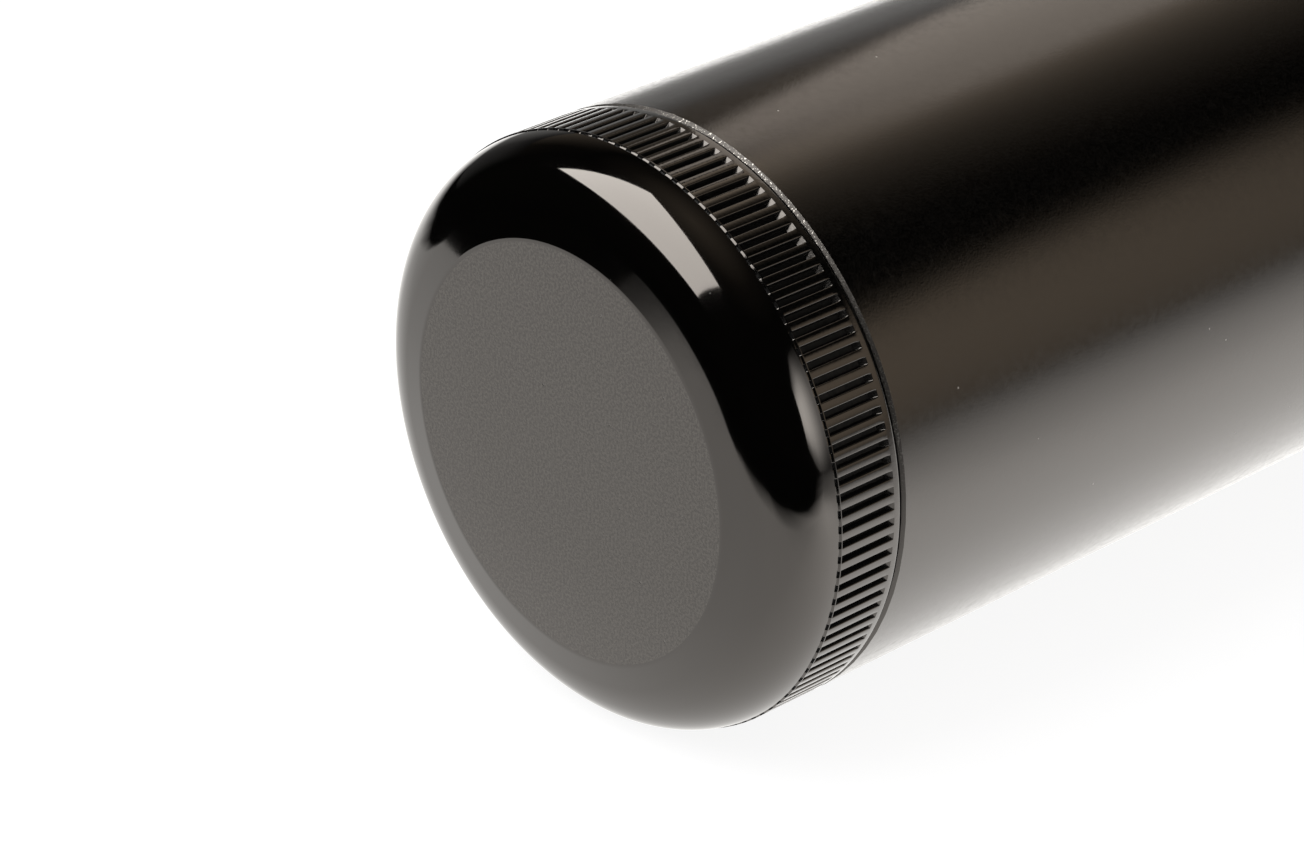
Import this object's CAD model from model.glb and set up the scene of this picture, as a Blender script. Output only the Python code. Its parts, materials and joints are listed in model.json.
"""Looks of a D-cell flashlight: finishes, fine meshes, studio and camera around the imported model."""
import json
import math

import bmesh
import bpy
import numpy as np
from mathutils import Matrix, Vector

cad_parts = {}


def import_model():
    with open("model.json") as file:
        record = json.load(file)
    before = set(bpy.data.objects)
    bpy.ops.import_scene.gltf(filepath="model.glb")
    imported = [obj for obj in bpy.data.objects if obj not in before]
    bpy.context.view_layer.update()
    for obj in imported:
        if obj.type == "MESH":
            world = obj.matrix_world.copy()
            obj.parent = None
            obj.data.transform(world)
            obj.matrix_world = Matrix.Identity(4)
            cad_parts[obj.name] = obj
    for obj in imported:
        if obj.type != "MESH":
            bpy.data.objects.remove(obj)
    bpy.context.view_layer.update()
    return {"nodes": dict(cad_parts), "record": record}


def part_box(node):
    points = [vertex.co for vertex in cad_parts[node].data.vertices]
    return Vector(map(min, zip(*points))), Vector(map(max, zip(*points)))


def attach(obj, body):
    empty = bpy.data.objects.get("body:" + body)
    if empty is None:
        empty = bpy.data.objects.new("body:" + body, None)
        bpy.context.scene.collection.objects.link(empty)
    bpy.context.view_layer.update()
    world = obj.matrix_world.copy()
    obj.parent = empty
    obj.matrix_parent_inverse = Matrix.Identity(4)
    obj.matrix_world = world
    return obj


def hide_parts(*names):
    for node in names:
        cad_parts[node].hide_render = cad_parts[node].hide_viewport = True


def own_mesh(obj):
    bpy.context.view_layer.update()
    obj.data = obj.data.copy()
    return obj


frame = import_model()
nodes = frame["nodes"]
MM = 0.001


def low_mm(node):
    """Lowest corner of a CAD node's box, in millimetres."""
    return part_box(node)[0] / MM


def high_mm(node):
    """Highest corner of a CAD node's box, in millimetres."""
    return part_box(node)[1] / MM


# Sizes in millimetres, taken from the frame where its boxes give them
BARREL_R = high_mm("barrel").y
SEAM = 0.2
CAP_LENGTH = low_mm("barrel").x - SEAM
STUB_END = high_mm("tail_cap").x
THREAD_PITCH = 1.5

# Tail cap: end face, cone, rounded shoulder and ribbed band
FLAT_R = 14.0
CONE_SLOPE = math.radians(12)
CONE_R = 15.7
BLEND_SLOPE = math.radians(24)
SHOULDER_R = 4.4
SHOULDER_DROP = 0.05
BAND_X = 4.4
BAND_GROOVE = 0.12
BAND_WALL = 0.12
GROOVE_NOTCH = 0.3
BAND_RIM = 0.6
RIM_ROUND = 0.22
RIB_COUNT = 120
SLOT_SHARE = 0.44
SLOT_DEPTH = 0.45
SLOT_RUN_OUT = 0.36
EDGE_ROUND = 0.03
MOUTH_CHAMFER = 0.2
MOUTH_WALL = 1.6
STUB_WALL = 2.85
STUB_R = BARREL_R - MOUTH_WALL
HOLLOW_R = STUB_R - STUB_WALL
HOLLOW_FLOOR = 3.2

# Face cap: radius of its ribbed band, and where its flats start
FACE_BAND_R = 28.7
FLATS_X = 241.3

# Grip on the barrel
GRIP_X = (80.0, 148.0)
GRIP_DEPTH = 0.35
GRIP_FLOOR_R = BARREL_R - GRIP_DEPTH

# Camera, worked out from the photograph's outlines, in metres
CAMERA_PLACE = (-0.1704, -0.1921, 0.1370)
CAMERA_FORWARD = (0.60053, 0.64918, -0.46683)
CAMERA_LENS = 129.21
SENSOR_WIDTH = 36.0


# Node helpers for the finishes
def finish(name, base, roughness, **sockets):
    """A material with a Principled shader whose plain values are set on its own sockets."""
    made = bpy.data.materials.new(name)
    made.use_nodes = True
    shader = made.node_tree.nodes["Principled BSDF"]
    shader.inputs["Base Color"].default_value = (*base, 1.0)
    shader.inputs["Roughness"].default_value = roughness
    for socket, value in sockets.items():
        shader.inputs[socket.replace("_", " ")].default_value = value
    return made


def node_of(made, kind, **inputs):
    """A node of the given kind, with input values set by name or linked from another node's socket."""
    tree = made.node_tree
    node = tree.nodes.new(kind)
    for name, value in inputs.items():
        socket = node.inputs[name.replace("_", " ")]
        if isinstance(value, bpy.types.NodeSocket):
            tree.links.new(value, socket)
        else:
            socket.default_value = value
    return node


def place_of(made, stretch):
    """Object coordinates in millimetres, stretched along each axis."""
    coordinates = node_of(made, "ShaderNodeTexCoord").outputs["Object"]
    scale = tuple(s / MM for s in stretch)
    return node_of(made, "ShaderNodeMapping", Vector=coordinates, Scale=scale).outputs["Vector"]


def grain(made, size, stretch=(1, 1, 1), detail=3.0):
    """Noise whose blotches are about the given size in millimetres."""
    place = place_of(made, stretch)
    noise = node_of(made, "ShaderNodeTexNoise", Vector=place, Scale=1 / size, Detail=detail)
    return noise.outputs["Fac"]


def between(made, source, low, high, from_low=0.3, from_high=0.7):
    """A source, of about 0.3 to 0.7 unless given, mapped to a range."""
    ranged = node_of(made, "ShaderNodeMapRange", Value=source)
    values = {"From Min": from_low, "From Max": from_high, "To Min": low, "To Max": high}
    for name, value in values.items():
        ranged.inputs[name].default_value = value
    return ranged.outputs["Result"]


def feed(made, socket, source):
    """Links a source to one of the Principled shader's sockets."""
    made.node_tree.links.new(source, made.node_tree.nodes["Principled BSDF"].inputs[socket])


def bump(made, source, height, strength=1.0):
    """Bump of a height in millimetres."""
    raised = node_of(made, "ShaderNodeBump", Height=source, Strength=strength, Distance=height * MM)
    feed(made, "Normal", raised.outputs["Normal"])


def mixed(made, mask, first, second):
    """Base colour that goes from the first to the second with a mask."""
    mix = made.node_tree.nodes.new("ShaderNodeMix")
    mix.data_type = "RGBA"
    colour_inputs = [s for s in mix.inputs if s.type == "RGBA"]
    colour_inputs[0].default_value = (*first, 1.0)
    colour_inputs[1].default_value = (*second, 1.0)
    made.node_tree.links.new(mask, mix.inputs["Factor"])
    feed(made, "Base Color", [s for s in mix.outputs if s.type == "RGBA"][0])


def specks(made, spacing, radius, share):
    """A mask of small round specks in a share of the cells that are a spacing apart, in millimetres."""
    cells = node_of(made, "ShaderNodeTexVoronoi", Vector=place_of(made, (1, 1, 1)), Scale=1 / spacing)
    near = between(made, cells.outputs["Distance"], 1.0, 0.0, 0.6 * radius / spacing, radius / spacing)
    pick = node_of(made, "ShaderNodeSeparateColor", Color=cells.outputs["Color"]).outputs["Red"]
    chosen = between(made, pick, 0.0, 1.0, 1 - share, 1 - share + 0.001)
    return product(made, near, chosen)


def combined(made, operation, first, second):
    """Two values put together by a math operation."""
    node = node_of(made, "ShaderNodeMath")
    node.operation = operation
    made.node_tree.links.new(first, node.inputs[0])
    made.node_tree.links.new(second, node.inputs[1])
    return node.outputs["Value"]


def product(made, first, second):
    """Two masks multiplied."""
    return combined(made, "MULTIPLY", first, second)


def larger(made, first, second):
    """The larger of two values at each place."""
    return combined(made, "MAXIMUM", first, second)


def coordinate(made, axis):
    """Place along one of the flashlight's axes, in metres."""
    place = node_of(made, "ShaderNodeTexCoord").outputs["Object"]
    return node_of(made, "ShaderNodeSeparateXYZ", Vector=place).outputs[axis]


def before(made, x):
    """A mask of what lies on the tail's side of a place along the axis, in millimetres."""
    return between(made, coordinate(made, "X"), 1.0, 0.0, (x - 0.01) * MM, x * MM)


def above(made, low, high):
    """A mask that grows from 0 to 1 between two heights, in millimetres."""
    return between(made, coordinate(made, "Z"), 0.0, 1.0, low * MM, high * MM)


def inside(made, radius):
    """A mask of what lies nearer to the axis than a radius in millimetres."""
    coordinates = node_of(made, "ShaderNodeTexCoord").outputs["Object"]
    flattened = node_of(made, "ShaderNodeMapping", Vector=coordinates, Scale=(0.0, 1 / MM, 1 / MM))
    length = node_of(made, "ShaderNodeVectorMath", Vector=flattened.outputs["Vector"])
    length.operation = "LENGTH"
    return between(made, length.outputs["Value"], 1.0, 0.0, radius - 0.05, radius)


# Finishes
BLACK = (0.0012, 0.0011, 0.001)
DEEP_BLACK = (0.0, 0.0, 0.0)
DULL_BLACK = (0.003, 0.0028, 0.0026)
DUST = (0.32, 0.31, 0.29)
BARE = (0.34, 0.325, 0.3)
ANODISED = {"IOR": 1.8, "Specular_Tint": (1.0, 0.93, 0.87, 1.0)}


def gloss_black():
    """Polished black anodising with a few specks of dust."""
    made = finish("gloss_black", BLACK, 0.06, **ANODISED)
    mixed(made, specks(made, 2.0, 0.07, 0.15), BLACK, DUST)
    feed(made, "Roughness", between(made, grain(made, 2.5), 0.045, 0.075))
    bump(made, grain(made, 0.5), 0.0005)
    return made


def end_face_black():
    """The end face: the same black, lapped to a soft gloss, with a fine mottle and pits."""
    made = finish("end_face_black", BLACK, 0.15, **ANODISED)
    mottle = between(made, grain(made, 0.18, detail=4.0), 0.0, 1.0, 0.4, 0.6)
    mixed(made, mottle, DEEP_BLACK, (0.058, 0.053, 0.046))
    feed(made, "Roughness", between(made, grain(made, 1.2), 0.12, 0.18))
    bump(made, specks(made, 1.6, 0.09, 0.12), -0.03)
    return made


def slot_black():
    """Dull black in the band's slots, which the polishing doesn't reach."""
    made = finish("slot_black", BLACK, 0.6, IOR=1.35)
    mixed(made, grain(made, 0.5), BLACK, DULL_BLACK)
    feed(made, "Roughness", between(made, grain(made, 0.3), 0.5, 0.7))
    return made


def face_cap_black():
    """Polished black anodising, dull in the slots of the face cap's band."""
    made = finish("face_cap_black", BLACK, 0.06, **ANODISED)
    slots = product(made, inside(made, FACE_BAND_R - 0.15), before(made, FLATS_X))
    mixed(made, grain(made, 0.5), BLACK, DULL_BLACK)
    polished = between(made, grain(made, 2.5), 0.045, 0.075)
    dull = between(made, slots, 0.0, 0.7, 0.0, 1.0)
    feed(made, "Roughness", larger(made, polished, dull))
    bump(made, grain(made, 0.5), 0.0005)
    return made


def band_black():
    """The band's ribs and rim, satin like the barrel."""
    made = finish("band_black", BLACK, 0.1, **ANODISED)
    mottle = between(made, grain(made, 0.15, detail=4.0), 0.0, 1.0)
    mixed(made, mottle, DEEP_BLACK, (0.004, 0.0038, 0.0035))
    feed(made, "Roughness", between(made, grain(made, 0.5, detail=5.0), 0.08, 0.14))
    bump(made, grain(made, 0.2, detail=4.0), 0.005)
    return made


def slot_end_black():
    """The milled ends of the slots."""
    made = finish("slot_end_black", BLACK, 0.28, **ANODISED)
    mixed(made, grain(made, 0.3), (0.006, 0.0058, 0.0054), (0.02, 0.019, 0.018))
    feed(made, "Roughness", between(made, grain(made, 0.2), 0.14, 0.26))
    return made


def satin_black():
    """Bead-blasted black anodising with a little dust.

    The chamfer of the barrel's mouth is duller, and rubbed to bare specks on its upper side.
    """
    made = finish("satin_black", BLACK, 0.22, **ANODISED)
    mouth = before(made, low_mm("barrel").x + MOUTH_CHAMFER + 0.01)
    worn = between(made, grain(made, 0.12, detail=4.0), 0.0, 1.0, 0.57, 0.63)
    bare = product(made, mouth, product(made, worn, above(made, 1.0, 8.0)))
    lighter = larger(made, bare, specks(made, 2.0, 0.08, 0.35))
    mottle = between(made, grain(made, 0.13), 0.0, 0.008, 0.4, 0.6)
    mixed(made, larger(made, lighter, mottle), DEEP_BLACK, BARE)
    feed(made, "Metallic", bare)
    blasted = between(made, grain(made, 0.5, detail=5.0), 0.15, 0.23)
    chamfer = product(made, mouth, between(made, bare, 0.5, 0.25, 0.0, 1.0))
    feed(made, "Roughness", larger(made, blasted, chamfer))
    bump(made, grain(made, 0.13), 0.006)
    return made


def knurl_black():
    """Black anodising on the knurl, a little lighter on its points."""
    made = finish("knurl_black", BLACK, 0.3, **ANODISED)
    mixed(made, between(made, grain(made, 0.6), 0.0, 1.0), BLACK, (0.012, 0.0115, 0.011))
    feed(made, "Roughness", between(made, grain(made, 0.8), 0.24, 0.36))
    return made


def black_rubber():
    """Moulded rubber with a fine matt skin."""
    made = finish("black_rubber", (0.012, 0.012, 0.012), 0.6, IOR=1.5)
    mixed(made, grain(made, 1.5), (0.009, 0.009, 0.009), (0.018, 0.0175, 0.017))
    feed(made, "Roughness", between(made, grain(made, 0.7), 0.5, 0.7))
    bump(made, grain(made, 0.2, detail=5.0), 0.012)
    return made


def spring_steel():
    """Drawn bright wire."""
    made = finish("spring_steel", (0.62, 0.62, 0.6), 0.25, Metallic=1.0)
    mixed(made, grain(made, 0.8), (0.5, 0.5, 0.49), (0.68, 0.68, 0.66))
    feed(made, "Roughness", between(made, grain(made, 0.4), 0.18, 0.34))
    return made


def brass():
    """Stamped brass with a thin tarnish."""
    made = finish("brass", (0.7, 0.5, 0.22), 0.25, Metallic=1.0)
    mixed(made, grain(made, 1.6, detail=4.0), (0.5, 0.34, 0.14), (0.78, 0.58, 0.28))
    feed(made, "Roughness", between(made, grain(made, 0.7), 0.18, 0.4))
    return made


def black_plastic():
    """Moulded black plastic with a spark-eroded texture."""
    made = finish("black_plastic", (0.02, 0.02, 0.02), 0.45, IOR=1.5)
    mixed(made, grain(made, 2.0), (0.016, 0.016, 0.016), (0.026, 0.026, 0.025))
    feed(made, "Roughness", between(made, grain(made, 0.5), 0.38, 0.54))
    bump(made, grain(made, 0.25, detail=4.0), 0.01)
    return made


def white_plastic():
    """Moulded off-white nylon."""
    made = finish("white_plastic", (0.76, 0.74, 0.68), 0.42, IOR=1.5)
    mixed(made, grain(made, 3.0), (0.72, 0.7, 0.63), (0.8, 0.78, 0.73))
    feed(made, "Roughness", between(made, grain(made, 0.6), 0.36, 0.5))
    bump(made, grain(made, 0.3), 0.006)
    return made


def mirror_coat():
    """Vacuum-coated mirror with a trace of orange peel."""
    made = finish("mirror_coat", (0.88, 0.89, 0.9), 0.05, Metallic=1.0)
    mixed(made, grain(made, 4.0), (0.86, 0.87, 0.88), (0.9, 0.91, 0.92))
    feed(made, "Roughness", between(made, grain(made, 1.5), 0.03, 0.07))
    bump(made, grain(made, 1.2, detail=1.0), 0.003)
    return made


def clear_glass(name, tint):
    """Clear glass with the faintest smear in its gloss."""
    made = finish(name, tint, 0.02, IOR=1.5, Transmission_Weight=1.0)
    mixed(made, grain(made, 6.0), tint, tuple(0.98 * c for c in tint))
    feed(made, "Roughness", between(made, grain(made, 5.0), 0.0, 0.03))
    return made


def tungsten():
    """Dark drawn wire."""
    made = finish("tungsten", (0.3, 0.29, 0.27), 0.35, Metallic=1.0)
    mixed(made, grain(made, 0.3), (0.2, 0.19, 0.18), (0.36, 0.35, 0.33))
    feed(made, "Roughness", between(made, grain(made, 0.2), 0.28, 0.45))
    return made


def nickel(name, tint):
    """Nickel-plated steel with fine rolling marks."""
    made = finish(name, tint, 0.25, Metallic=1.0)
    mixed(made, grain(made, 1.5, stretch=(0.3, 2, 2)), tuple(0.85 * c for c in tint), tint)
    feed(made, "Roughness", between(made, grain(made, 0.6), 0.2, 0.36))
    return made


def cell_sleeve():
    """Plain shrink sleeve of a cell, without print."""
    made = finish("cell_sleeve", (0.28, 0.05, 0.035), 0.25, IOR=1.5)
    mixed(made, grain(made, 8.0), (0.25, 0.042, 0.03), (0.31, 0.058, 0.042))
    feed(made, "Roughness", between(made, grain(made, 3.0), 0.18, 0.34))
    bump(made, grain(made, 2.5, stretch=(0.4, 1, 1)), 0.01)
    return made


finishes = {
    "black_satin": satin_black(),
    "black_gloss": gloss_black(),
    "black_rubber": black_rubber(),
    "spring_steel": spring_steel(),
    "brass": brass(),
    "black_plastic": black_plastic(),
    "white_plastic": white_plastic(),
    "mirror_coat": mirror_coat(),
    "clear_glass": clear_glass("clear_glass", (0.97, 0.985, 0.98)),
    "tungsten": tungsten(),
    "cell_body": nickel("cell_nickel", (0.72, 0.73, 0.73)),
    "cell_jacket": cell_sleeve(),
    "cell_top": nickel("top_nickel", (0.78, 0.79, 0.79)),
}
for part in frame["record"]["subparts"]:
    cad_materials = nodes[part["node"]].data.materials
    cad_materials.clear()
    cad_materials.append(finishes[part["material_slot"]])
nodes["face_cap"].data.materials[0] = face_cap_black()


# Mesh helpers
def strip_faces(first, second):
    """Faces between two rows of point numbers.

    A row of one point is a pole, and a row may have several points to each of the other's.
    """
    coarse, fine = sorted((first, second), key=len)
    sides = len(coarse) if len(coarse) > 1 else len(fine)
    step = len(fine) // sides
    faces = []
    for k in range(sides):
        near = [coarse[k], coarse[(k + 1) % sides]] if len(coarse) > 1 else [coarse[0]]
        far = [fine[(k * step + s) % len(fine)] for s in range(step, -1, -1)]
        faces.append(tuple(near + far))
    return faces


def skin(rows, wrap=False):
    """Points and faces of a closed sheet of rings; wrap joins the last row to the first."""
    starts = np.cumsum([0] + [len(row) for row in rows])
    numbers = [range(low, high) for low, high in zip(starts[:-1], starts[1:])]
    pairs = list(zip(numbers[:-1], numbers[1:]))
    if wrap:
        pairs.append((numbers[-1], numbers[0]))
    faces = [face for first, second in pairs for face in strip_faces(first, second)]
    return np.concatenate(rows), faces


def piece(name, shells, materials, body, replaces=()):
    """A smooth mesh object of closed shells, given in millimetres, that rides on a body."""
    mesh = bpy.data.meshes.new(name)
    points, faces, count = [], [], 0
    for shell_points, shell_faces in shells:
        points.append(shell_points)
        faces.extend(tuple(int(v) + count for v in face) for face in shell_faces)
        count += len(shell_points)
    mesh.from_pydata((np.concatenate(points) * MM).tolist(), [], faces)
    work = bmesh.new()
    work.from_mesh(mesh)
    bmesh.ops.recalc_face_normals(work, faces=work.faces)
    work.to_mesh(mesh)
    work.free()
    for made in materials:
        mesh.materials.append(made)
    mesh.polygons.foreach_set("use_smooth", [True] * len(mesh.polygons))
    obj = bpy.data.objects.new(name, mesh)
    bpy.context.scene.collection.objects.link(obj)
    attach(obj, body)
    if replaces:
        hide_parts(*replaces)
    return obj


def ring(x, radius, angles):
    """A row of points round the flashlight's axis."""
    radii = np.broadcast_to(radius, angles.shape)
    return np.column_stack([np.full(angles.shape, x), radii * np.cos(angles), radii * np.sin(angles)])


def pole(x):
    """A row of one point on the axis."""
    return np.array([[x, 0.0, 0.0]])


def even_angles(count):
    """Angles spread evenly over a turn."""
    return np.arange(count) * 2 * math.pi / count


# Tail cap
def rib_columns():
    """Angles round the ribbed band, with the share of the slot's depth at each."""
    half = SLOT_SHARE / 2
    side = [(half + 0.07, 0.0), (half + 0.036, 0.032), (half + 0.01, 0.094), (half - 0.002, 0.168),
            (half - 0.012, 0.9), (half - 0.04, 1.0)]
    one_pitch = [(-0.5, 0.0)] + [(-place, share) for place, share in side] + [(0.0, 1.0)]
    one_pitch += [(place, share) for place, share in reversed(side)]
    pitch = 2 * math.pi / RIB_COUNT
    angles = [pitch * (i + place) for i in range(RIB_COUNT) for place, _ in one_pitch]
    shares = np.tile([share for _, share in one_pitch], RIB_COUNT)
    return np.array(angles), shares


def shoulder_outline():
    """Place and radius along the end face's edge, the cone, a short blend and the rounded shoulder."""
    centre_r = BARREL_R - SHOULDER_DROP - SHOULDER_R
    edge = 0.12
    outline = [(0.0, FLAT_R - edge), (0.15 * edge * math.tan(CONE_SLOPE), FLAT_R - 0.3 * edge)]
    cone_rows = (FLAT_R + edge, FLAT_R + edge + 0.05, CONE_R - 0.05, CONE_R)
    outline += [((r - FLAT_R) * math.tan(CONE_SLOPE), r) for r in cone_rows]
    blend_steps = 14
    step = (centre_r + SHOULDER_R * math.sin(BLEND_SLOPE) - CONE_R) / blend_steps
    for slope in np.linspace(CONE_SLOPE, BLEND_SLOPE, blend_steps):
        x, r = outline[-1]
        outline.append((x + step * math.tan(slope), r + step))
    centre_x = outline[-1][0] + SHOULDER_R * math.cos(BLEND_SLOPE)
    groove_x = BAND_X - BAND_GROOVE - EDGE_ROUND
    last = math.acos((centre_x - groove_x) / SHOULDER_R)
    arc_steps = 36
    for angle in np.linspace(BLEND_SLOPE, last, arc_steps)[1:]:
        across, along = SHOULDER_R * math.sin(angle), SHOULDER_R * math.cos(angle)
        outline.append((centre_x - along, centre_r + across))
    outline.append((groove_x + EDGE_ROUND, outline[-1][1] - EDGE_ROUND))
    return outline


def band_outline():
    """Place, radius and share of the slot's depth along the groove, the slots and the rounded rim."""
    groove_r = BARREL_R - SHOULDER_DROP - 0.6 * BAND_GROOVE
    groove_x = BAND_X - BAND_GROOVE
    slot_x = BAND_X + BAND_WALL
    slot_end = CAP_LENGTH - BAND_RIM
    e = EDGE_ROUND
    outline = [
        (groove_x + 0.3 * e, groove_r, 0.0),
        (slot_x - 5.5 * e, groove_r, GROOVE_NOTCH),
        (slot_x - 2.5 * e, BARREL_R - e, GROOVE_NOTCH),
        (slot_x - 2 * e, BARREL_R, 0.0),
        (slot_x - 0.3 * e, BARREL_R, 0.0),
        (slot_x, BARREL_R, 1.0),
        (slot_end - SLOT_RUN_OUT, BARREL_R, 1.0),
        (slot_end - 0.02, BARREL_R, 0.06),
        (slot_end, BARREL_R, 0.0),
    ]
    for angle in np.radians(np.linspace(0, 90, 6)):
        x = CAP_LENGTH - RIM_ROUND * (1 - math.sin(angle))
        outline.append((x, BARREL_R - RIM_ROUND * (1 - math.cos(angle)), 0.0))
    return outline


def thread_tooth(turns):
    """Height of a thread's rounded trapezium, from 0 to 1, against turns."""
    phase = np.abs(np.mod(turns, 1.0) - 0.5)
    return np.clip(1.6 - 4.4 * phase, 0.0, 1.0)


def threaded_tube(lead_in, x_thread, root_r, crest_r, inner_r):
    """A closed tube with a right-hand thread.

    lead_in lists places and radii before the thread starts.
    """
    angles = even_angles(180)
    steps_a_pitch = 8
    first, last = x_thread
    places = np.arange(first, last, THREAD_PITCH / steps_a_pitch)
    rows = [ring(x, r, angles) for x, r in lead_in]
    for x in places:
        fade = min(1.0, (x - first) / THREAD_PITCH, (last - x) / THREAD_PITCH)
        teeth = thread_tooth(x / THREAD_PITCH - angles / (2 * math.pi))
        rows.append(ring(x, root_r + (crest_r - root_r) * fade * teeth, angles))
    rows += [ring(last, root_r - 0.2, angles), ring(last, inner_r, angles)]
    rows.append(ring(lead_in[0][0], inner_r, angles))
    return skin(rows, wrap=True)


def tail_stub():
    """The threaded stub that goes into the barrel, with the groove for its seal."""
    seal_low, seal_high = low_mm("tail_seal"), high_mm("tail_seal")
    spare = 0.3
    groove_r = seal_high.y - (seal_high.x - seal_low.x) - 0.05
    groove = (seal_low.x - spare, seal_high.x + spare)
    lead_in = [(CAP_LENGTH - 0.2, STUB_R), (groove[0], STUB_R), (groove[0], groove_r),
               (groove[1], groove_r), (groove[1], STUB_R - 0.35)]
    return threaded_tube(lead_in, (groove[1] + 0.3, STUB_END), STUB_R - 0.35, STUB_R, HOLLOW_R)


GLOSS, END_FACE, SLOT, BAND, SLOT_END = range(5)


def cap_finish(x, y, z):
    """Which of the tail cap's finishes a place on it has."""
    r = math.hypot(y, z)
    slot_end = CAP_LENGTH - BAND_RIM
    pitch = 2 * math.pi / RIB_COUNT
    at_slot = abs(math.remainder(math.atan2(z, y), pitch)) < SLOT_SHARE * pitch / 2
    if x < 0.001 and r < FLAT_R - 0.02:
        return END_FACE
    if r < BARREL_R - SLOT_DEPTH - 0.1 or x < BAND_X - BAND_GROOVE:
        return GLOSS
    if at_slot and x < BAND_X + BAND_WALL - 2 * EDGE_ROUND:
        return SLOT
    if at_slot and x < slot_end - SLOT_RUN_OUT and r < BARREL_R - 0.3 * SLOT_DEPTH:
        return SLOT
    if at_slot and slot_end - SLOT_RUN_OUT < x < slot_end - 0.02:
        return SLOT_END
    return BAND


def tail_cap():
    """The tail cap: full columns on the ribbed band, and two to a rib elsewhere."""
    angles, shares = rib_columns()
    plain = angles[::len(angles) // (2 * RIB_COUNT)]
    rows = [pole(0.0), ring(0.0, FLAT_R / 2, plain)]
    rows += [ring(x, r, plain) for x, r in shoulder_outline()]
    rows += [ring(x, r - cut * SLOT_DEPTH * shares, angles) for x, r, cut in band_outline()]
    rows += [ring(x, HOLLOW_R, plain) for x in (CAP_LENGTH, HOLLOW_FLOOR)]
    rows.append(pole(HOLLOW_FLOOR))
    cap_finishes = [finishes["black_gloss"], end_face_black(), slot_black(), band_black(), slot_end_black()]
    shells = [skin(rows), tail_stub()]
    obj = piece("tail_cap_metal", shells, cap_finishes, "tail_cap", ["tail_cap"])
    obj.data.set_sharp_from_angle(angle=math.radians(26))
    for face in obj.data.polygons:
        face.material_index = cap_finish(*(face.center / MM))
    return obj


tail_cap()


# Diamond knurl in the grip's recess
def grip_knurl():
    """Diamonds where right-hand and left-hand ridges cross, lower towards both ends."""
    starts, samples = 96, 4
    height, fade_length = 0.33, 1.2
    cell_length = 2.2
    cells = round((GRIP_X[1] - GRIP_X[0] - 1.0) / cell_length)
    angles = even_angles(starts * samples)
    around = angles * starts / (2 * math.pi)
    first = (GRIP_X[0] + GRIP_X[1] - cells * cell_length) / 2
    rows = [ring(first, GRIP_FLOOR_R - 0.3, angles)]
    for step in range(cells * samples + 1):
        along = step / samples
        x = first + along * cell_length
        right = np.abs(np.mod(around + along, 1.0) - 0.5) * 2
        left = np.abs(np.mod(around - along, 1.0) - 0.5) * 2
        to_end = min(step, cells * samples - step) * cell_length / samples
        fade = min(1.0, to_end / fade_length)
        rows.append(ring(x, GRIP_FLOOR_R + 0.01 + height * fade * np.minimum(right, left), angles))
    rows.append(ring(first + cells * cell_length, GRIP_FLOOR_R - 0.3, angles))
    return piece("grip_knurl", [skin(rows, wrap=True)], [knurl_black()], "barrel")


grip_knurl()


# Thread on the front of the head, under the face cap
def head_thread():
    thread_r = high_mm("reflector").y + 0.3
    first = low_mm("face_cap").x + 0.2
    last = high_mm("head").x - 0.2
    root_r, crest_r = thread_r + 0.01, thread_r + 0.17
    shell = threaded_tube([(first, root_r)], (first + 0.2, last), root_r, crest_r, thread_r - 0.4)
    return piece("head_thread", [shell], [finishes["black_satin"]], "head")


head_thread()


# Springs
def coil(turns, r_from, r_to, length, wire):
    """Points and faces of a wire wound along +X from the origin."""
    steps, sides = 40, 14
    t = np.linspace(0.0, 1.0, int(turns * steps) + 1)
    angle = 2 * math.pi * turns * t
    radius = r_from + (r_to - r_from) * t
    path = np.column_stack([length * t, radius * np.cos(angle), radius * np.sin(angle)])
    along = np.gradient(path, axis=0)
    along /= np.linalg.norm(along, axis=1)[:, None]
    outward = np.column_stack([np.zeros_like(t), np.cos(angle), np.sin(angle)])
    outward -= along * (outward * along).sum(1)[:, None]
    outward /= np.linalg.norm(outward, axis=1)[:, None]
    across = np.cross(along, outward)
    around = even_angles(sides)
    rows = [path[:1]]
    for p, o, a in zip(path, outward, across):
        rows.append(p + wire * (np.cos(around)[:, None] * o + np.sin(around)[:, None] * a))
    rows.append(path[-1:])
    return skin(rows)


def shifted(shell, place, upright=False):
    """A shell moved to a place, and turned from +X to +Z where it stands upright."""
    points, faces = shell
    if upright:
        points = points @ np.array([[0, 0, 1], [0, 1, 0], [-1, 0, 0]], float)
    return points + np.array(place, float), faces


def springs():
    steel = [finishes["spring_steel"]]
    wire = 0.7
    low, high = low_mm("tail_spring"), high_mm("tail_spring")
    shell = shifted(coil(5, 13.2, 7.0, high.x - low.x - 2 * wire, wire), (low.x + wire, 0, 0))
    piece("tail_spring_wire", [shell], steel, "tail_insert", ["tail_spring"])

    wire = 0.35
    low, high = low_mm("lamp_spring"), high_mm("lamp_spring")
    length = high.x - low.x
    shell = shifted(coil(6, 4.2, 4.2, length - 2 * wire, wire), (low.x + wire, 0, 0))
    lamp = piece("lamp_spring_wire", [shell], steel, "barrel", ["lamp_spring"])
    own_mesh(lamp)

    wire = 0.3
    low, high = low_mm("switch_return_spring"), high_mm("switch_return_spring")
    middle = (low + high) / 2
    height = high.z - low.z
    upright_coil = coil(6, 3.0, 3.0, height - 2 * wire, wire)
    shell = shifted(upright_coil, (middle.x, 0, low.z + wire), upright=True)
    lift = piece("switch_return_wire", [shell], steel, "barrel", ["switch_return_spring"])
    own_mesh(lift)


springs()


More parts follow.
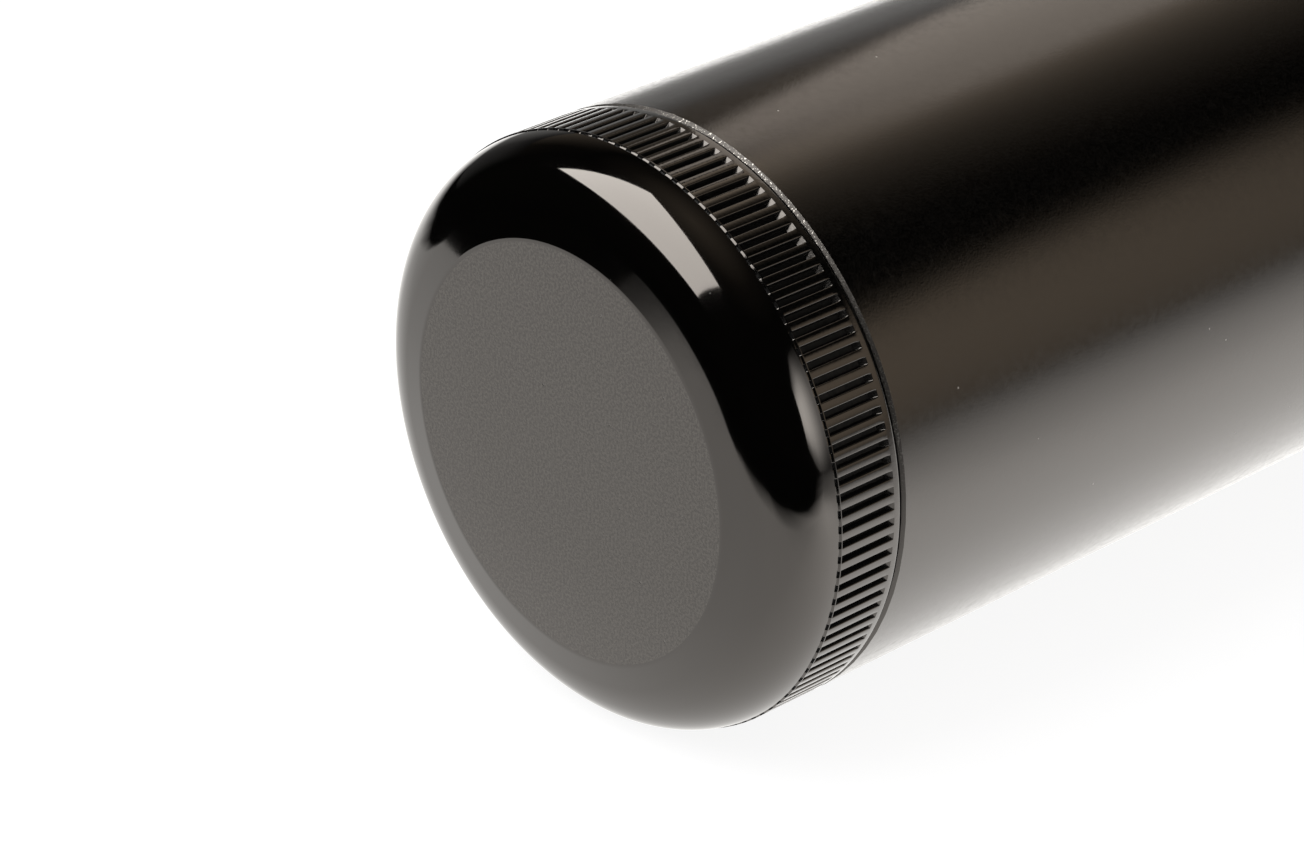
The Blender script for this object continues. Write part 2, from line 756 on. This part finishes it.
# Studio: a floor that the flashlight lies on, cards that only reflections see, and three soft lamps
FLOOR_GREY = 0.3
FLOOR_GLOW = 0.87
AMBIENT = 0.45
TENT_R = 900.0
CARD_R = 600.0
FLOOR_SLOPE = (-low_mm("face_cap").z - BARREL_R) / (FLATS_X - BAND_X)


def floor_z(x):
    """Height of the floor in millimetres: it touches the tail cap's band and the face cap's flat."""
    return -BARREL_R - FLOOR_SLOPE * (x - BAND_X) - 0.02


def stage_mesh(name, points, faces, made):
    """A mesh of the studio, given in millimetres."""
    mesh = bpy.data.meshes.new(name)
    mesh.from_pydata([tuple(MM * c for c in p) for p in points], [], faces)
    mesh.materials.append(made)
    obj = bpy.data.objects.new(name, mesh)
    bpy.context.scene.collection.objects.link(obj)
    return obj


def seen_by_background_rays(tree):
    """1 for camera, glossy and transmission rays, and 0 for the rest."""
    rays = tree.nodes.new("ShaderNodeLightPath")
    total = rays.outputs["Is Camera Ray"]
    for name in ("Is Glossy Ray", "Is Transmission Ray"):
        either = tree.nodes.new("ShaderNodeMath")
        either.operation = "MAXIMUM"
        tree.links.new(total, either.inputs[0])
        tree.links.new(rays.outputs[name], either.inputs[1])
        total = either.outputs["Value"]
    return total


def floor():
    """A white floor, mostly bright by itself so that it stays white and keeps a faint shadow."""
    made = bpy.data.materials.new("studio_floor")
    made.use_nodes = True
    tree = made.node_tree
    tree.nodes.clear()
    matt = tree.nodes.new("ShaderNodeBsdfDiffuse")
    matt.inputs["Color"].default_value = (FLOOR_GREY, FLOOR_GREY, FLOOR_GREY, 1.0)
    glow = tree.nodes.new("ShaderNodeEmission")
    strength = tree.nodes.new("ShaderNodeMath")
    strength.operation = "MULTIPLY"
    tree.links.new(seen_by_background_rays(tree), strength.inputs[0])
    strength.inputs[1].default_value = FLOOR_GLOW
    tree.links.new(strength.outputs["Value"], glow.inputs["Strength"])
    both = tree.nodes.new("ShaderNodeAddShader")
    tree.links.new(matt.outputs["BSDF"], both.inputs[0])
    tree.links.new(glow.outputs["Emission"], both.inputs[1])
    out = tree.nodes.new("ShaderNodeOutputMaterial")
    tree.links.new(both.outputs["Shader"], out.inputs["Surface"])
    reach = 4000.0
    corners = [(-reach, -reach), (reach, -reach), (reach, reach), (-reach, reach)]
    points = [(x, y, floor_z(x)) for x, y in corners]
    return stage_mesh("studio_floor", points, [(0, 1, 2, 3)], made)


def card_glow(colour):
    """Light of a card, as strong as the mesh's own glow values."""
    made = bpy.data.materials.new("card_glow")
    made.use_nodes = True
    tree = made.node_tree
    tree.nodes.clear()
    level = tree.nodes.new("ShaderNodeAttribute")
    level.attribute_name = "glow"
    light = tree.nodes.new("ShaderNodeEmission")
    light.inputs["Color"].default_value = (*colour, 1.0)
    tree.links.new(level.outputs["Fac"], light.inputs["Strength"])
    out = tree.nodes.new("ShaderNodeOutputMaterial")
    tree.links.new(light.outputs["Emission"], out.inputs["Surface"])
    return made


WHITE_CARD = card_glow((1.0, 0.985, 0.96))
WARM_CARD = card_glow((1.0, 0.9, 0.8))
DARK_CARD = card_glow((1.0, 0.84, 0.66))


def card(name, points, faces, glow, made):
    """A sheet that reflections see and that lights nothing; glow is one value or one for each point."""
    obj = stage_mesh(name, points, faces, made)
    level = obj.data.attributes.new("glow", "FLOAT", "POINT")
    level.data.foreach_set("value", np.broadcast_to(np.array(glow, np.float32), len(points)))
    obj.visible_camera = False
    obj.visible_diffuse = False
    obj.visible_shadow = False
    obj.visible_volume_scatter = False
    return obj


def direction(azimuth, elevation):
    """Unit vector from the tail, with azimuth from +X towards +Y, in degrees."""
    a, e = math.radians(azimuth), math.radians(elevation)
    return np.array([math.cos(e) * math.cos(a), math.cos(e) * math.sin(a), math.sin(e)])


def sheet_faces(columns, rows):
    """Faces of a sheet whose points run up each column in turn."""
    faces = []
    for c in range(columns - 1):
        for r in range(rows - 1):
            a, b = c * rows + r, (c + 1) * rows + r
            faces.append((a, b, b + 1, a + 1))
    return faces


def arc_card(name, stops, profile, distance, made=WHITE_CARD, trims=()):
    """A curved card round the tail.

    Stops pair azimuths with glow, profile pairs elevations with shares of the glow, and trims are degrees
    that the first stops lose at the top and bottom.
    """
    heights, levels = zip(*profile)
    rise = np.linspace(heights[0], heights[-1], 15)
    shares = np.interp(rise, heights, levels)
    points, glow = [], []
    for i, (azimuth, level) in enumerate(stops):
        trim = trims[i] if i < len(trims) else 0.0
        for elevation in np.interp(rise, rise[[0, -1]], rise[[0, -1]] + [trim, -trim]):
            points.append(distance * direction(azimuth, elevation))
        glow.extend(level * shares)
    return card(name, points, sheet_faces(len(stops), len(rise)), glow, made)


# Where the bright part of the floor ends: across, along and how softly
POOL_EDGE = [(-900, 100, 100), (-300, 10, 60), (-180, 0, 40), (-120, -5, 26), (-90, -13, 30),
             (-60, -38, 28), (-30, -56, 18), (0, -62, 8), (6, -62, 4), (11, -65, 3), (16, -73, 3),
             (22, -82, 3), (30, -92, 3), (39, -103, 3), (49, -114, 3), (60, -125, 4), (72, -135, 5),
             (85, -145, 8), (92, -148, 10), (95, -44, 6), (98, -37, 6), (104, -28, 12), (120, -11, 30),
             (150, 8, 60), (180, 25, 80), (210, 50, 90), (300, 100, 120), (900, 400, 200)]
# Along the floor, and how its light grows from beyond the tail to the barrel
ALONG_GROWTH = [(-150, 0.03), (-143, 0.12), (-137, 0.17), (-128, 0.32), (-119, 0.51), (-108, 0.78),
                (-88, 1.0), (-10, 1.0), (15, 1.4), (50, 1.7), (110, 2.0)]
# Near side of the floor: across, and how its light fades
NEAR_FADE = [(-900, 0.0), (-450, 0.08), (-300, 0.2), (-200, 0.3), (-126, 0.45), (-100, 0.6), (-70, 0.75),
             (-55, 0.9), (-45, 1.05), (-35, 1.1), (-20, 1.1), (0, 1.0)]


def floor_glow(x, y):
    """How brightly reflections see the floor: more along the barrel, with a soft spot beside the tail."""
    along = np.interp(x, *zip(*ALONG_GROWTH))
    far_fade = np.exp(-(np.abs(y) / 420.0) ** 2.5)
    fade = np.where(y < 0, np.interp(y, *zip(*NEAR_FADE)), far_fade)
    spot = 1.15 * np.exp(-((x - 12.0) / 30.0) ** 2 - ((y + 92.0) / 45.0) ** 2)
    return along * fade + spot + 0.01


def floor_cards():
    """The floor as reflections see it: a pool of light beside the flashlight, and a dark mat beyond."""
    near = [-TENT_R, -450, -300, -250, -200, -170, -145, -126, -110, -92, -80, -70, -60, -50, -40, -30, -20]
    across = np.concatenate([near, np.linspace(0.0, TENT_R, 31)])
    along = [-200.0, -150, -143, -137, -128, -119, -108, -88, -60, -45, -30, -15, 0, 12, 25, 40, 60, 85, 110]
    along.append(TENT_R)
    points = [(x, y, floor_z(x) + 0.2) for x in along for y in across]
    glow = np.concatenate([floor_glow(x, across) for x in along])
    card("floor_pool", points, sheet_faces(len(along), len(across)), glow, WHITE_CARD)

    edge_y, edge_x, soft = (np.array(v, float) for v in zip(*POOL_EDGE))
    rows = [edge_x + 0.5 * soft, edge_x - 0.5 * soft, np.full(edge_x.shape, -TENT_R)]
    points = [(x, y, floor_z(x) + 0.4) for row in rows for x, y in zip(row, edge_y)]
    glow = np.concatenate([floor_glow(rows[0], edge_y), np.full(2 * len(edge_y), 0.001)])
    card("dark_mat", points, sheet_faces(len(rows), len(edge_y)), glow, WHITE_CARD)


def soft_box():
    """The main light as reflections see it, a little weaker towards its far end."""
    size = 500.0
    glow_near, glow_drop = 6.3, 1.5
    steps = np.linspace(0.0, 1.0, 7)
    near = [np.array(c) for c in ((-0.140, 0.330, 1.040), (-0.284, 0.637, 0.428))]
    far = [np.array(c) for c in ((-0.658, -0.350, 0.953), (-0.759, 0.014, 0.348))]
    points, glow = [], []
    for s in steps:
        for t in steps:
            top = near[0] + s * (far[0] - near[0])
            bottom = near[1] + s * (far[1] - near[1])
            points.append(size * (top + t * (bottom - top)))
            glow.append(glow_near - glow_drop * s)
    card("soft_box", points, sheet_faces(len(steps), len(steps)), glow, WHITE_CARD)


def surrounding_cards():
    """A dark tent all round, a ceiling that is brighter overhead, and the soft box."""
    turn = range(0, 361, 10)
    arc_card("tent", [(a, 0.003) for a in turn], [(-8, 1.0), (90, 1.0)], TENT_R, DARK_CARD)
    arc_card("ceiling_card", [(a, 0.22) for a in turn],
             [(46, 0.0), (62, 0.13), (75, 0.55), (90, 1.0)], 800.0, DARK_CARD)
    soft_box()


def side_cards():
    """Cards on the near side: one that is bright at its rear end, and a dim one that goes on from it."""
    arc_card("side_card",
             [(-98, 3.3), (-92, 3.7), (-85, 3.1), (-80, 2.3), (-75, 1.6), (-70, 1.0), (-66, 0.85)],
             [(-4, 0.1), (0, 0.2), (3, 0.45), (6, 0.7), (10, 0.9), (15, 1.0), (22, 1.0), (27, 0.8),
              (31, 0.4), (37, 0.0)],
             CARD_R, trims=(10, 5, 1))
    arc_card("dim_side_card", [(-66, 0.72), (-56, 0.6), (-40, 0.5), (-30, 0.1)],
             [(-4, 0.55), (2, 0.85), (8, 1.0), (15, 1.1), (24, 1.1), (28, 0.6), (32, 0.0)],
             CARD_R, DARK_CARD)


def rear_cards():
    """Cards beyond the head."""
    arc_card("rear_card", [(12, 1.1), (25, 1.1), (39, 1.15)], [(20, 1.0), (46, 1.0)], 218.0, WARM_CARD)
    arc_card("low_rear_card", [(36, 0.4), (52, 0.4), (62, 0.22), (72, 0.08), (86, 0.05), (96, 0.0)],
             [(-2, 1.0), (12, 1.0), (20, 0.3)], CARD_R)
    arc_card("high_rear_card",
             [(-24, 0.0), (-17, 0.03), (-10, 0.09), (-1, 0.17), (7, 0.32), (16, 0.62), (26, 1.0)],
             [(34, 0.0), (38, 1.0), (52, 1.0), (56, 0.0)], CARD_R, DARK_CARD)
    arc_card("rear_wall", [(0, 0.0), (18, 0.25), (45, 0.32), (66, 0.22), (80, 0.03), (98, 0.0)],
             [(8, 1.0), (46, 0.0)], 700.0, DARK_CARD)


def lamp(name, place, aim, size, power):
    """A soft lamp that lights surfaces; the cards stand for it in reflections."""
    data = bpy.data.lights.new(name, "AREA")
    data.shape = "RECTANGLE"
    data.size, data.size_y = size
    data.energy = power
    obj = bpy.data.objects.new(name, data)
    obj.location = place
    obj.rotation_mode = "QUATERNION"
    obj.rotation_quaternion = (Vector(aim) - Vector(place)).to_track_quat("-Z", "Y")
    obj.visible_camera = False
    obj.visible_glossy = False
    obj.visible_transmission = False
    bpy.context.scene.collection.objects.link(obj)
    return obj


def world():
    """White for camera, glossy and transmission rays, and a dim even light for surfaces."""
    made = bpy.data.worlds.new("studio_world")
    made.use_nodes = True
    tree = made.node_tree
    tree.nodes.clear()
    ambient = tree.nodes.new("ShaderNodeBackground")
    ambient.inputs["Strength"].default_value = AMBIENT
    white = tree.nodes.new("ShaderNodeBackground")
    for background in (ambient, white):
        background.inputs["Color"].default_value = (1.0, 1.0, 1.0, 1.0)
    choose = tree.nodes.new("ShaderNodeMixShader")
    tree.links.new(seen_by_background_rays(tree), choose.inputs["Fac"])
    tree.links.new(ambient.outputs["Background"], choose.inputs[1])
    tree.links.new(white.outputs["Background"], choose.inputs[2])
    out = tree.nodes.new("ShaderNodeOutputWorld")
    tree.links.new(choose.outputs["Shader"], out.inputs["Surface"])
    bpy.context.scene.world = made


floor()
floor_cards()
surrounding_cards()
side_cards()
rear_cards()
lamp("key_lamp", (-0.235, 0.072, 0.345), (0.06, 0, 0), (0.35, 0.43), 1.0)
lamp("side_lamp", (0.08, -0.5, 0.12), (0.1, 0, 0), (0.6, 0.25), 0.5)
lamp("head_lamp", (0.45, 0.3, 0.35), (0.2, 0, 0), (0.4, 0.3), 0.5)
world()


# Camera
def camera():
    data = bpy.data.cameras.new("camera")
    data.lens = CAMERA_LENS
    data.sensor_width = SENSOR_WIDTH
    data.clip_start, data.clip_end = 0.01, 20.0
    obj = bpy.data.objects.new("camera", data)
    forward = Vector(CAMERA_FORWARD).normalized()
    right = forward.cross(Vector((0, 0, 1))).normalized()
    up = right.cross(forward)
    turn = Matrix((right, up, -forward)).transposed().to_4x4()
    obj.matrix_world = Matrix.Translation(CAMERA_PLACE) @ turn
    bpy.context.scene.collection.objects.link(obj)
    bpy.context.scene.camera = obj


camera()
bpy.context.scene.view_settings.view_transform = "Standard"
